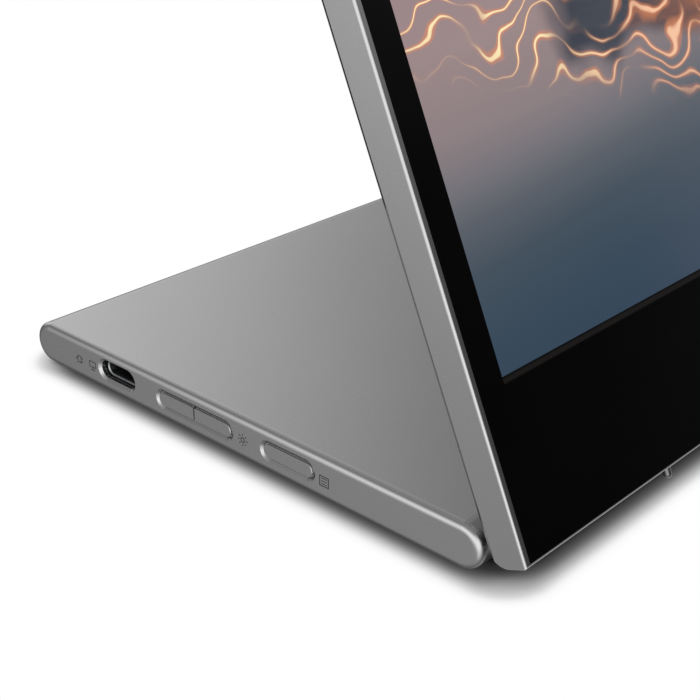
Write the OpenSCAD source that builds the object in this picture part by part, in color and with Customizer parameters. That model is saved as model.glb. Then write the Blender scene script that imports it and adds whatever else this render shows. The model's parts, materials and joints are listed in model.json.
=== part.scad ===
// Portable monitor on a folding base: a slim screen leans back on two friction
// hinges in the front edge of a flat base that holds the ports and keys.
// X runs to the right, Y to the back, Z up. The origin lies on the table, under
// the middle of the whole object's outline.

/* [Base] */
// Width of the base and of the screen housing
width = 323; // [300:1:360]
// Depth of the base, front to back
base_d = 110; // [95:1:130]
// Thickness of the base without its feet
base_t = 8.1; // [7.8:0.1:9]
// Radius on the long edges of the base's two side faces
side_edge_r = 1.3; // [0.6:0.1:1.8]
// How far the rubber feet stand out of the underside
foot_out = 0.6; // [0.4:0.1:1.2]

/* [Screen] */
// Width of the lit picture
picture_w = 309.4; // [286:0.1:310]
// Height of the lit picture
picture_h = 174; // [160:0.1:194]
// Thickness of the screen housing
screen_t = 6.3; // [6:0.1:8]
// Black band below the picture
chin_h = 26.8; // [26:0.1:34]
// Black band above the picture
brow_h = 6.8; // [5:0.1:12]
// Lean of the screen away from upright, in degrees
lean = 24; // [0:1:60]

/* [Hinge] */
// Distance of each hinge from the middle
hinge_x = 71.5; // [50:0.5:100]
// Length of each hinge knuckle
knuckle_l = 39.4; // [24:0.2:60]
// Gap between the folded screen and the base
folded_gap = 1.46; // [1.3:0.02:2.5]
// Radius of the hinge pin
pin_r = 1.5; // [1.2:0.1:1.8]

/* [Ports and keys] */
// Place of the socket, from the front end of the base
port_y = 85.1; // [78:0.1:90]
// Place of the pair of brightness keys
bright_y = 63.6; // [60:0.1:68]
// Place of the menu key
menu_y = 40.4; // [36:0.1:46]
// Height of the keys' middle above the underside
key_z = 4.15; // [3.9:0.05:4.3]
// Height of the socket's middle above the underside
port_z = 4.35; // [4.1:0.05:4.4]
// Travel of a key
key_travel = 0.4; // [0.2:0.05:0.5]

/* [Hidden] */
$fn = 64;
eps = 0.01;
pin_play = 0.05;

// Base shell
top_wall = 1.2;
under_wall = 1.5;
side_wall = 1.8;
cavity_t = base_t - top_wall - under_wall;
cavity_edge_r = 0.15;
cavity_z = under_wall + cavity_t / 2;
roof_z = base_t - top_wall;
cover_t = 0.9;
cover_side = 9;
cover_front = 9.5;
cover_back = 8;
cover_w = width - 2 * cover_side;
cover_d = base_d - cover_front - cover_back;
cover_y = cover_front + cover_d / 2;
cover_r = 6;
cover_gap = 0.12;
ledge = 2;
post_r = 2.1;
pilot_r = 0.8;
sunk_r = 1.8;
head_r = 1.6;
head_t = 0.5;
cover_screw_x = width / 2 - 18.5;
cover_screw_y = [21, base_d - 21];
foot_l = width - 43;
foot_w = 5;
foot_groove = 0.3;
foot_gap = 0.1;
foot_places = [14, base_d - 12.5];

// Hinge line: the middle of the rounded front edge
axis_back = base_t / 2;
back_gap = base_t / 2 + folded_gap;
front_gap = back_gap + screen_t;
chin_drop = base_t / 2 - 0.5;
screen_h = chin_h + picture_h + brow_h;
front_reach = front_gap * cos(lean) + chin_drop * sin(lean);
axis_y = (front_reach + axis_back - base_d) / 2;
axis_z = foot_out + base_t / 2;
front_y = axis_y - axis_back;

// Hinge parts
notch_l = knuckle_l + 0.6;
notch_d = base_t / 2 + 4.4;
notch_wall = 1.2;
knuckle_r = base_t / 2 - 0.35;
pocket_r = base_t / 2 - 1.1;
web_t = 3;
barrel_r = pocket_r - 0.25;
barrel_l = 8;
barrel_in = notch_l / 2 + notch_wall + 0.2;
barrel_out = barrel_in + barrel_l;
washer_t = 0.35;
washers = 3;
washer_pitch = 0.45;
nut_t = 2;
nut_x = barrel_out + washers * washer_pitch + 0.1;
pin_out = nut_x + nut_t + 0.4;
pocket_l = pin_out + 0.6;
bracket_l = 18;
bracket_t = 1;
bracket_z = under_wall + 0.05;
bracket_screws = [9.6, 15.5];
leaf_start = pin_r + 0.4;
slit_z = pin_r * 0.3;
slit_w = 0.4;
pin_in = barrel_out + 0.3;
leaf_w = 38;
leaf_h = 20.5;
leaf_z = 2.1;
leaf_t = 1;
rivet_x = [-14, 14];
rivet_z = [9.5, 19];
rivet_depth = 0.9;

// Screen housing
housing_back = 1.2;
housing_wall = 2;
rim_w = 1.1;
rim_low = 0.3;
glass_set = 0.1;
bezel_t = 0.6;
fit_gap = 0.08;
heel_r = 3.2;
front_edge_r = 0.5;
bevel_deep = 0.6;
bevel_in = 0.3;
window_low = 1;
panel_over = 1.6;
panel_t = 1.2;
tray_t = 0.3;
light_t = 1.6;
driver_w = 280;
driver_z0 = 6;
driver_z1 = 21;
driver_y = 1;
dome_x = width / 2 - 40.5;
dome_y = 2;
dome_r = 0.7;
dome_out = 2.3;
dome_stem = 1.2;
bumper_t = folded_gap - 0.2;
bumper_r = 3.5;
bumper_side = 14;
bumper_up = base_d - 15;

// Keys and socket, measured from a side face inwards
key_h = 2.5;
key_gap = 0.26;
key_sink = 0.05;
key_flare = 0.5;
key_play = 0.08;
groove_d = 0.5;
flange_h = 4.2;
flange_t = 0.7;
key_in = side_wall + 0.05 + flange_t;
key_bevel = 0.08;
collar_r = key_h / 2 + key_gap - key_play;
bright_l = 18.8;
menu_l = 11.4;
power_l = 11.4;
power_y = 63.6;
plunger_r = 0.7;
plunger_l = 3;
plunger_foot_r = 1.15;
plunger_foot_t = 0.3;
split_gap = 0.26;
switch_x = 4.4;
switch_w = 4.2;
switch_d = 3.4;
switch_h = 2.4;
switch_bore = key_in + plunger_l + key_travel + 0.4 - switch_x;
shell_c = 5.78;
shell_r = 1.58;
shell_wall = 0.3;
shell_lip = 0.2;
shell_l = 7.3;
shell_back = 0.4;
mouth_in = 1.5;
cutout_c = 6.3;
cutout_r = 1.78;
cutout_flare = 0.5;
tongue_w = 6.6;
tongue_t = 0.7;
tongue_l = 5.2;
tongue_root = 1;
io_t = 0.8;
io_z = port_z - shell_r - io_t;
io_x = 3.3;
io_w = 12.5;
io_front = 30;
io_back = 94;
io_screw_y = [50, 75.5];
main_w = 130;
main_d = 46;
main_y = 62;
main_z = 4;
main_t = 0.8;
can_w = 44;
can_d = 34;
can_t = 1.8;
can_wall = 0.2;
ribbon_w = 10;
ribbon_t = 0.15;
ribbon_out = width / 2 - io_x - io_w + 3;
ribbon_in = main_w / 2 - 5;
ribbon_step = main_w / 2 + 2;

alu = "#A9AAAC";
alu_dark = "#8E9093";
steel = "#B9BCC0";
black = "#0B0B0D";
rubber = "#2A2B2D";
board = "#1E5A3A";

// ---- Places ----

// Base frame: X from the middle, Y from the front end, Z from the underside
module in_base() translate([0, front_y, foot_out]) children();

// Screen frame: standing upright, with the origin on the hinge line
module in_screen() translate([0, axis_y, axis_z]) rotate([-lean, 0, 0]) children();

// A side face: +X runs inwards, the origin is on the face at height z
module on_left(y, z) in_base() translate([-width / 2, y, z]) children();
module on_right(y, z) in_base() translate([width / 2, y, z]) mirror([1, 0, 0]) children();

// A point of the hinge line, with +X running outwards from the hinge's middle
module at_hinge(side) translate([side * hinge_x, 0, 0])
    mirror([side < 0 ? 1 : 0, 0, 0]) children();

// The hinge line as seen from the base
module in_hinge_line() in_base() translate([0, axis_back, axis_back]) children();

// ---- Shapes ----

// Bar of length l along X
module rod(r, l) rotate([0, 90, 0]) cylinder(h = l, r = r);

// Solid with round ends, from X = 0 to X = d. c is the distance between the end
// centres along Y, and r0 and r1 are the radii at its two faces.
module stadium(c, r0, r1, d) {
    for (s = [-1, 1]) translate([0, s * c / 2, 0]) rotate([0, 90, 0])
        cylinder(h = d, r1 = r0, r2 = r1);
    translate([0, c / 2, 0]) rotate([90, 0, 0]) linear_extrude(c)
        polygon([[0, -r0], [d, -r1], [d, r1], [0, r0]]);
}

// Rectangle with round corners, middle on the origin
module round_rect(w, h, r) {
    square([w - 2 * r, h], center = true);
    square([w, h - 2 * r], center = true);
    for (x = [-1, 1], y = [-1, 1]) translate([x * (w / 2 - r), y * (h / 2 - r)]) circle(r);
}

// Half of that rectangle, from its middle line to +X, for turning
module half_round_rect(w, h, r) {
    translate([0, -h / 2]) square([w / 2 - r, h]);
    translate([0, r - h / 2]) square([w / 2, h - 2 * r]);
    for (y = [-1, 1]) translate([w / 2 - r, y * (h / 2 - r)]) circle(r);
}

// Slab lying flat with fully rounded front and back edges. Y starts at the front
// end and Z runs from -t / 2 to t / 2. r rounds the edges of the two side faces.
module pill_slab(w, d, t, r) {
    translate([0, d - t / 2, 0]) rotate([90, 0, 0]) linear_extrude(d - t) round_rect(w, t, r);
    for (y = [t / 2, d - t / 2]) translate([0, y, 0]) rotate([0, 90, 0])
        rotate_extrude($fn = 96) half_round_rect(t, w, r);
}

// ---- Base ----

cover_screw_places = [for (x = [-cover_screw_x, -18, 18, cover_screw_x], y = cover_screw_y) [x, y]];
io_screw_places = [for (s = [-1, 1], y = io_screw_y) [s * (width / 2 - io_x - io_w + 2.2), y]];
main_screw_places = [for (x = [-1, 1], y = [-1, 1])
    [x * (main_w / 2 - 4), main_y + y * (main_d / 2 - 4)]];
bracket_screw_places = [for (s = [-1, 1], b = [-1, 1], d = bracket_screws)
    [s * hinge_x + b * (barrel_in + barrel_l / 2), axis_back + d]];

module outer_slab() translate([0, 0, base_t / 2]) pill_slab(width, base_d, base_t, side_edge_r);

module base_cavity() translate([0, top_wall, cavity_z])
    pill_slab(width - 2 * side_wall, base_d - 2 * top_wall, cavity_t, cavity_edge_r);

// Stepped window in the underside: the cover lies in the wider step
module cover_window() translate([0, cover_y, 0]) {
    translate([0, 0, -1]) linear_extrude(cover_t + 1) round_rect(cover_w, cover_d, cover_r);
    translate([0, 0, -1]) linear_extrude(under_wall + 1 + eps)
        round_rect(cover_w - 2 * ledge, cover_d - 2 * ledge, cover_r - ledge);
}

// Hollow post hanging from the roof down to height z
module post(p, z) translate([p[0], p[1], z]) difference() {
    cylinder(h = roof_z - z + 0.4, r = post_r);
    translate([0, 0, -eps]) cylinder(h = roof_z - z, r = pilot_r, $fn = 24);
}

// Walls round the notch that a hinge knuckle turns in
module notch_block() translate([-notch_l / 2 - notch_wall, 0, 0])
    cube([notch_l + 2 * notch_wall, notch_d + notch_wall, base_t]);

module notch_cut() translate([-notch_l / 2, -1, -1]) cube([notch_l, notch_d + 1, base_t + 2]);

// Flared opening of a key or socket in a side face
module face_opening(c, r, flare) {
    translate([-eps, 0, 0]) stadium(c, r + flare + eps, r, flare + eps);
    stadium(c, r, r, side_wall + 0.5);
}

module key_opening(l) face_opening(l - key_h, key_h / 2 + key_gap, key_flare);

module socket_opening() face_opening(cutout_c, cutout_r, cutout_flare);

module base_shell() color(alu) {
    difference() {
        in_base() difference() {
            union() {
                difference() {
                    outer_slab();
                    base_cavity();
                    for (s = [-1, 1]) translate([s * hinge_x - pocket_l, axis_back, axis_back])
                        rod(pocket_r, 2 * pocket_l);
                }
                intersection() {
                    outer_slab();
                    for (s = [-1, 1]) translate([s * hinge_x, 0, 0]) notch_block();
                }
            }
            cover_window();
            for (s = [-1, 1]) translate([s * hinge_x, 0, 0]) {
                notch_cut();
                translate([-notch_l, axis_back, axis_back]) rod(pin_r + 0.3, 2 * notch_l);
            }
        }
        on_left(bright_y, key_z) key_opening(bright_l);
        on_left(menu_y, key_z) key_opening(menu_l);
        on_left(port_y, port_z) socket_opening();
        on_right(power_y, key_z) key_opening(power_l);
        on_right(port_y, port_z) socket_opening();
    }
    in_base() {
        for (p = cover_screw_places) post(p, cover_t);
        for (p = io_screw_places) post(p, io_z + io_t);
        for (p = main_screw_places) post(p, main_z + main_t);
        for (p = bracket_screw_places) post(p, bracket_z + bracket_t);
    }
}

// Sheet that closes the underside, with grooves for the feet
module base_cover() color(alu_dark) in_base() difference() {
    translate([0, cover_y, 0]) linear_extrude(cover_t)
        round_rect(cover_w - 2 * cover_gap, cover_d - 2 * cover_gap, cover_r - cover_gap);
    for (y = foot_places) foot_strip(y, -1, foot_groove + 1, foot_gap);
    for (p = cover_screw_places) translate([p[0], p[1], -eps])
        cylinder(h = cover_t + 2 * eps, r1 = sunk_r + 0.1, r2 = pilot_r + 0.1);
}

// Long rubber strip with round ends
module foot_strip(y, z, h, grow = 0) translate([0, y, z]) linear_extrude(h)
    round_rect(foot_l + 2 * grow, foot_w + 2 * grow, foot_w / 2 + grow - eps);

module foot(y) in_base() foot_strip(y, -foot_out, foot_out + foot_groove);
module foot_front() color(rubber) foot(foot_places[0]);
module foot_back() color(rubber) foot(foot_places[1]);

// Screw pointing up, with a flat head below height z
module cap_screw(p, z, l) translate([p[0], p[1], z]) {
    translate([0, 0, -head_t]) cylinder(h = head_t, r = head_r);
    cylinder(h = l, r = pilot_r - 0.02, $fn = 24);
}

module cover_screws() color(steel) in_base() for (p = cover_screw_places)
    translate([p[0], p[1], 0.05]) difference() {
        union() {
            cylinder(h = cover_t - 0.05, r1 = sunk_r, r2 = pilot_r);
            cylinder(h = 4, r = pilot_r - 0.02, $fn = 24);
        }
        translate([0, 0, -eps]) cylinder(h = 0.5, r = 0.8, $fn = 6);
    }

// ---- Boards in the base ----

module main_board() color(board) in_base() difference() {
    translate([-main_w / 2, main_y - main_d / 2, main_z]) cube([main_w, main_d, main_t]);
    for (p = main_screw_places) translate([p[0], p[1], main_z - 1]) cylinder(h = main_t + 2, r = 1);
}

module shield_can() color(steel) in_base() difference() {
    translate([-can_w / 2, main_y - can_d / 2, main_z - can_t]) cube([can_w, can_d, can_t]);
    translate([-can_w / 2 + can_wall, main_y - can_d / 2 + can_wall, main_z - can_t + can_wall])
        cube([can_w - 2 * can_wall, can_d - 2 * can_wall, can_t]);
}

module board_screws() color(steel) in_base() {
    for (p = main_screw_places) cap_screw(p, main_z, main_t + 1.4);
    for (p = io_screw_places) cap_screw(p, io_z, io_t + 2.5);
}

// Narrow board along one side, for the socket and the switches of that side
module io_board(side) in_base() difference() {
    translate([side * (width / 2 - io_x - io_w / 2) - io_w / 2, io_front, io_z])
        cube([io_w, io_back - io_front, io_t]);
    for (p = io_screw_places) translate([p[0], p[1], io_z - 1]) cylinder(h = io_t + 2, r = 1);
}

module io_board_left() color(board) io_board(-1);
module io_board_right() color(board) io_board(1);

// Metal tube of the socket, closed at its inner end, with a bevelled mouth
module port_shell() color(steel) translate([mouth_in, 0, 0]) difference() {
    stadium(shell_c, shell_r, shell_r, shell_l);
    translate([-eps, 0, 0])
        stadium(shell_c, shell_r - shell_wall, shell_r - shell_wall, shell_l - shell_back + eps);
    translate([-eps, 0, 0])
        stadium(shell_c, shell_r - shell_wall + shell_lip + eps, shell_r - shell_wall, shell_lip + eps);
}

// Blade with the contacts in the middle of the socket
module port_tongue() color(black) translate([mouth_in + shell_l - shell_back - tongue_l, 0, 0]) {
    translate([0, -tongue_w / 2, -tongue_t / 2]) cube([tongue_l, tongue_w, tongue_t]);
    translate([tongue_l - tongue_root, 0, 0])
        stadium(shell_c, shell_r - shell_wall - eps, shell_r - shell_wall - eps, tongue_root);
}

module port_shell_left() on_left(port_y, port_z) port_shell();
module port_shell_right() on_right(port_y, port_z) port_shell();
module port_tongue_left() on_left(port_y, port_z) port_tongue();
module port_tongue_right() on_right(port_y, port_z) port_tongue();

// Side-pressed switch standing on its board, with a bore for the plunger
module switch_body() difference() {
    translate([switch_x, -switch_w / 2, io_z + io_t - key_z]) cube([switch_d, switch_w, switch_h]);
    translate([switch_x - eps, 0, 0]) rod(plunger_r + 0.05, switch_bore);
}

module key_switches() color(black) {
    for (y = [bright_y - bright_l / 4, bright_y + bright_l / 4, menu_y]) on_left(y, key_z) switch_body();
    on_right(power_y, key_z) switch_body();
}

// Flat cable that steps up from a side board to the main board
module ribbon(side) in_base() mirror([side < 0 ? 1 : 0, 0, 0])
    translate([0, main_y + ribbon_w / 2, 0]) rotate([90, 0, 0]) linear_extrude(ribbon_w) polygon([
        [ribbon_out, io_z + io_t], [ribbon_out, io_z + io_t + ribbon_t],
        [ribbon_step + 12, io_z + io_t + ribbon_t], [ribbon_step, main_z], [ribbon_in, main_z],
        [ribbon_in, main_z - ribbon_t], [ribbon_step, main_z - ribbon_t], [ribbon_step + 12, io_z + io_t],
    ]);

module io_ribbons() color("#B7752C") for (s = [-1, 1]) ribbon(s);

// ---- Keys ----

// Key cap of length l: a groove runs round its face, a collar closes the opening
// behind the groove, and a flange inside the wall keeps the cap in
module key_cap(l) {
    translate([key_sink, 0, 0]) stadium(l - key_h, key_h / 2 - key_bevel, key_h / 2, key_bevel);
    translate([key_sink + key_bevel, 0, 0])
        stadium(l - key_h, key_h / 2, key_h / 2, key_in - key_sink - key_bevel);
    translate([groove_d, 0, 0]) stadium(l - key_h, collar_r, collar_r, key_in - groove_d);
    translate([key_in - flange_t, 0, 0]) stadium(l - key_h, flange_h / 2, flange_h / 2, flange_t);
}

// One end of the divided pair: side is 1 for the end away from the hinge
module half_key(side) intersection() {
    key_cap(bright_l);
    translate([0, side > 0 ? split_gap / 2 : -bright_l, -base_t])
        cube([base_t, bright_l - split_gap / 2, 2 * base_t]);
}

module plunger() {
    translate([key_in, 0, 0]) {
        rod(plunger_foot_r, plunger_foot_t);
        rod(plunger_r, plunger_l);
    }
}

module brightness_down_key() color(alu) on_left(bright_y, key_z) half_key(1);
module brightness_up_key() color(alu) on_left(bright_y, key_z) half_key(-1);
module menu_key() color(alu) on_left(menu_y, key_z) key_cap(menu_l);
module power_key() color(alu) on_right(power_y, key_z) key_cap(power_l);
module brightness_down_plunger() color(black) on_left(bright_y + bright_l / 4, key_z) plunger();
module brightness_up_plunger() color(black) on_left(bright_y - bright_l / 4, key_z) plunger();
module menu_plunger() color(black) on_left(menu_y, key_z) plunger();
module power_plunger() color(black) on_right(power_y, key_z) plunger();

// ---- Hinges ----

// Pair of rolled steel leaves screwed into the base, one on each side of a knuckle.
// A slit runs along each roll, so that it grips the pin.
module brackets(side) in_hinge_line() at_hinge(side) difference() {
    for (b = [0, 1]) mirror([b, 0, 0]) {
        translate([barrel_in, 0, 0]) rod(barrel_r, barrel_l);
        translate([barrel_in, leaf_start, bracket_z - axis_back])
            cube([barrel_l, bracket_l - leaf_start, bracket_t]);
    }
    translate([-pocket_l, 0, 0]) rod(pin_r + pin_play, 2 * pocket_l);
    translate([-pocket_l, 0, slit_z]) cube([2 * pocket_l, barrel_r + 1, slit_w]);
    for (b = [-1, 1], d = bracket_screws)
        translate([b * (barrel_in + barrel_l / 2), d, -base_t]) cylinder(h = base_t, r = pilot_r + 0.1);
}

module hinge_brackets_left() color(steel) brackets(-1);
module hinge_brackets_right() color(steel) brackets(1);

module bracket_screws() color(steel) in_base() for (p = bracket_screw_places)
    cap_screw(p, bracket_z, bracket_t + 2.4);

// Knuckle with a web through the back of the housing and a flat leaf inside it
module knuckle(side) in_screen() translate([side * hinge_x, 0, 0]) difference() {
    union() {
        translate([-knuckle_l / 2, 0, 0]) rod(knuckle_r, knuckle_l);
        translate([-knuckle_l / 2, -back_gap - housing_back - leaf_t, -web_t / 2])
            cube([knuckle_l, back_gap + housing_back + leaf_t, web_t]);
        translate([-leaf_w / 2, -back_gap - housing_back - leaf_t, leaf_z - chin_drop])
            cube([leaf_w, leaf_t, leaf_h]);
    }
    translate([-knuckle_l, 0, 0]) rod(pin_r, 2 * knuckle_l);
    for (x = rivet_x, z = rivet_z)
        translate([x, -back_gap, z - chin_drop]) rotate([90, 0, 0]) cylinder(h = screen_t, r = pilot_r);
}

module hinge_knuckle_left() color(alu_dark) knuckle(-1);
module hinge_knuckle_right() color(alu_dark) knuckle(1);

module pin(side) in_screen() at_hinge(side) translate([-pin_in, 0, 0]) rod(pin_r, pin_in + pin_out);
module hinge_pin_left() color(steel) pin(-1);
module hinge_pin_right() color(steel) pin(1);

// Spring washers and a nut on each pin's outer end squeeze the roll beside them
module hinge_washers() color(steel) in_screen() for (s = [-1, 1], i = [0:washers - 1])
    at_hinge(s) translate([barrel_out + 0.1 + i * washer_pitch, 0, 0]) difference() {
        rod(barrel_r - 0.1, washer_t);
        translate([-1, 0, 0]) rod(pin_r, washer_t + 2);
    }

module hinge_nuts() color(steel) in_screen() for (s = [-1, 1]) at_hinge(s)
    translate([nut_x, 0, 0]) difference() {
        rotate([0, 90, 0]) cylinder(h = nut_t, r = barrel_r - 0.1, $fn = 6);
        translate([-1, 0, 0]) rod(pin_r, nut_t + 2);
    }

module leaf_rivets() color(steel) in_screen() for (s = [-1, 1], x = rivet_x, z = rivet_z)
    translate([s * hinge_x + x, -back_gap - housing_back - leaf_t, z - chin_drop]) {
        rotate([90, 0, 0]) cylinder(h = 0.4, r = 1.5);
        rotate([-90, 0, 0]) cylinder(h = leaf_t + rivet_depth, r = pilot_r);
    }

// ---- Screen ----

// Front of the housing: Y runs into it from the front face, Z up from its lower edge
module in_front() in_screen() translate([0, -front_gap, -chin_drop]) children();

// Rectangle with small round front corners and larger round back corners
module slab_profile(t, h, rf, rb) {
    translate([rf, 0]) square([t - rf - rb, h]);
    translate([0, rf]) square([t / 2, h - 2 * rf]);
    translate([t / 2, rb]) square([t / 2, h - 2 * rb]);
    for (z = [rf, h - rf]) translate([rf, z]) circle(rf);
    for (z = [rb, h - rb]) translate([t - rb, z]) circle(rb);
}

// Plan of the housing: round front corners, bevelled back corners
module plan_profile() {
    polygon([[front_edge_r, 0], [screen_t - bevel_deep, 0], [screen_t, bevel_in],
        [screen_t, width - bevel_in], [screen_t - bevel_deep, width], [front_edge_r, width]]);
    translate([0, front_edge_r]) square([screen_t / 2, width - 2 * front_edge_r]);
    for (x = [front_edge_r, width - front_edge_r]) translate([front_edge_r, x]) circle(front_edge_r);
}

// Plate standing behind the front face, between depths y0 and y1
module plate(w, z0, z1, y0, y1) translate([-w / 2, y0, z0]) cube([w, y1 - y0, z1 - z0]);

module housing_block() intersection() {
    translate([-width / 2, 0, 0]) rotate([90, 0, 90]) linear_extrude(width)
        slab_profile(screen_t, screen_h, front_edge_r, heel_r);
    linear_extrude(screen_h) rotate(90) translate([0, -width / 2]) plan_profile();
}

module screen_housing() color(alu) in_front() difference() {
    housing_block();
    plate(width - 2 * rim_w, rim_low, screen_h - rim_w, -1, glass_set + bezel_t);
    plate(width - 2 * housing_wall, housing_wall, screen_h - housing_wall, -1, screen_t - housing_back);
    for (s = [-1, 1]) translate([s * hinge_x, 0, 0]) {
        plate(knuckle_l + 0.2, chin_drop - web_t / 2 - 0.1, chin_drop + web_t / 2 + 0.1,
            screen_t - housing_back - eps, screen_t + 1);
        for (x = rivet_x, z = rivet_z) translate([x, screen_t - housing_back - eps, z])
            rotate([-90, 0, 0]) cylinder(h = rivet_depth + eps, r = pilot_r);
    }
    for (s = [-1, 1]) translate([s * dome_x, dome_y, -1]) cylinder(h = 1 + dome_stem, r = dome_r);
}

// Gloss black front with the window for the picture
module bezel_frame() color(black) in_front() difference() {
    plate(width - 2 * rim_w - 2 * fit_gap, rim_low + fit_gap, screen_h - rim_w - fit_gap,
        glass_set, glass_set + bezel_t);
    plate(picture_w, chin_h - window_low, chin_h + picture_h, -1, screen_t);
}

panel_w = picture_w + 2 * panel_over;
panel_z0 = chin_h - window_low - panel_over;
panel_z1 = chin_h + picture_h + panel_over;
panel_y = glass_set + bezel_t;
light_y = panel_y + panel_t;

module lcd_panel() color("#3D4A58") in_front()
    plate(panel_w, panel_z0, panel_z1, panel_y, light_y);

module light_guide() color("white") in_front()
    plate(panel_w, panel_z0, panel_z1, light_y, light_y + light_t);

module panel_tray() color(steel) in_front() difference() {
    plate(panel_w + 2 * tray_t + 0.2, panel_z0 - tray_t - 0.1, panel_z1 + tray_t + 0.1,
        light_y, light_y + light_t + tray_t + 0.05);
    plate(panel_w + 0.2, panel_z0 - 0.1, panel_z1 + 0.1, light_y - 1, light_y + light_t + 0.05);
}

module driver_board() color(board) in_front() {
    plate(driver_w, driver_z0, driver_z1, driver_y, driver_y + io_t);
    for (x = [-96:48:96]) translate([x, 0, 0])
        plate(9, driver_z0 + 3, driver_z0 + 9, driver_y + io_t, driver_y + io_t + 0.7);
}

module driver_ribbon() color("#B7752C") in_front() for (x = [-90, 0, 90])
    translate([x, 0, 0]) plate(26, driver_z1 - 2, panel_z0, driver_y - ribbon_t, driver_y);

// Round-ended rubber studs under the lower edge, which meet the table when the screen stands steepest
module edge_domes() color(rubber) in_front()
    for (s = [-1, 1]) translate([s * dome_x, dome_y, dome_r - dome_out]) {
        sphere(dome_r);
        cylinder(h = dome_out - dome_r + dome_stem, r = dome_r);
    }

// Pads on the back that meet the base when the screen is folded down
module back_bumpers() color(rubber) in_front() for (s = [-1, 1])
    translate([s * (width / 2 - bumper_side), screen_t, chin_drop + bumper_up])
        rotate([-90, 0, 0]) cylinder(h = bumper_t, r1 = bumper_r, r2 = bumper_r - 0.5);

base_shell();
base_cover();
foot_front();
foot_back();
cover_screws();
main_board();
shield_can();
board_screws();
io_board_left();
io_board_right();
port_shell_left();
port_tongue_left();
port_shell_right();
port_tongue_right();
key_switches();
io_ribbons();
hinge_brackets_left();
hinge_brackets_right();
bracket_screws();
brightness_down_key();
brightness_up_key();
menu_key();
power_key();
brightness_down_plunger();
brightness_up_plunger();
menu_plunger();
power_plunger();
screen_housing();
bezel_frame();
lcd_panel();
light_guide();
panel_tray();
driver_board();
driver_ribbon();
hinge_knuckle_left();
hinge_knuckle_right();
hinge_pin_left();
hinge_pin_right();
hinge_washers();
hinge_nuts();
leaf_rivets();
edge_domes();
back_bumpers();
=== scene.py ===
import json
from math import cos, pi, radians, sin

import bpy
from mathutils import Matrix, Vector


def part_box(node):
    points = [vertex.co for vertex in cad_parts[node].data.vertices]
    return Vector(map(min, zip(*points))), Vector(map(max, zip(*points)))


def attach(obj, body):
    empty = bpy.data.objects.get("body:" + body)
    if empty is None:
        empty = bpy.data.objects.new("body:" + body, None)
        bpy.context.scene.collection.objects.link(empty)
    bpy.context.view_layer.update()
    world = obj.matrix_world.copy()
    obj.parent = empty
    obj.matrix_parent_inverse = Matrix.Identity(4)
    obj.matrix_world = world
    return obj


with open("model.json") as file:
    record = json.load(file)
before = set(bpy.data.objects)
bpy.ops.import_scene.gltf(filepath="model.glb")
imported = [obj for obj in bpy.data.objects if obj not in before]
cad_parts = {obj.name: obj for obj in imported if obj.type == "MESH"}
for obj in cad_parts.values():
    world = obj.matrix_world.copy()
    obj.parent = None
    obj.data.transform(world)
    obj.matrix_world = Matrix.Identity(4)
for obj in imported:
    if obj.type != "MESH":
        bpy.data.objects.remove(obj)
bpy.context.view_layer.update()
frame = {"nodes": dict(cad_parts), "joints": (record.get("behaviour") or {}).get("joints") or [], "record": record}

nodes = frame["nodes"]
mm = 0.001
hingeLine = [joint for joint in frame["joints"] if joint["name"] == "screen_hinge"][0]["pos_m"]


def srgb(code):
    # "#RRGGBB" to the linear colour that a socket holds
    parts = [int(code[i:i + 2], 16) / 255 for i in (1, 3, 5)]
    return [c / 12.92 if c <= 0.04045 else ((c + 0.055) / 1.055) ** 2.4 for c in parts] + [1.0]


def setInputs(node, inputs):
    # Inputs go by socket name, or in the sockets' order: a value is set, and another node's output is linked
    pairs = inputs.items() if isinstance(inputs, dict) else enumerate(inputs)
    for socket, value in pairs:
        if isinstance(value, bpy.types.NodeSocket):
            node.id_data.links.new(value, node.inputs[socket])
        else:
            node.inputs[socket].default_value = value


def addNode(tree, kind, inputs=(), out=0, stops=(), **settings):
    # Adds a node with its settings and links, and a ramp's colour stops, and gives the output to use next
    node = tree.nodes.new("ShaderNode" + kind)
    for name, value in settings.items():
        setattr(node, name, value)
    setInputs(node, inputs)
    while stops and len(node.color_ramp.elements) < len(stops):
        node.color_ramp.elements.new(0.5)
    for i, (position, code) in enumerate(stops):
        node.color_ramp.elements[i].position = position
        node.color_ramp.elements[i].color = srgb(code)
    return node.outputs[out] if len(node.outputs) else node


def softMask(tree, strength, *edges):
    # Each edge is a value, where along it the mask is 0 and where it is full
    for value, start, end in edges:
        edge = addNode(tree, "MapRange", (value, start, end), interpolation_type="SMOOTHSTEP")
        strength = addNode(tree, "Math", (strength, edge), operation="MULTIPLY")
    return strength


def startMaterial(name):
    material = bpy.data.materials.new(name)
    material.use_nodes = True
    tree = material.node_tree
    return material, tree, tree.nodes["Principled BSDF"], addNode(tree, "TexCoord", out="Object")


def followPattern(tree, shader, pattern, look):
    # Colour, roughness and relief follow one pattern, and what is even goes on the shader's own sockets
    smooth, rough = look["roughness"]
    setInputs(shader, {
        "Base Color": addNode(tree, "ValToRGB", [pattern], stops=look["colours"]),
        "Roughness": addNode(tree, "MapRange", {"Value": pattern, "To Min": smooth, "To Max": rough}),
    })
    if "relief" in look:
        relief = {"Height": pattern, "Distance": look["relief"], "Strength": look.get("reliefShare", 1.0)}
        setInputs(shader, {"Normal": addNode(tree, "Bump", relief)})
    setInputs(shader, look["even"])


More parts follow.
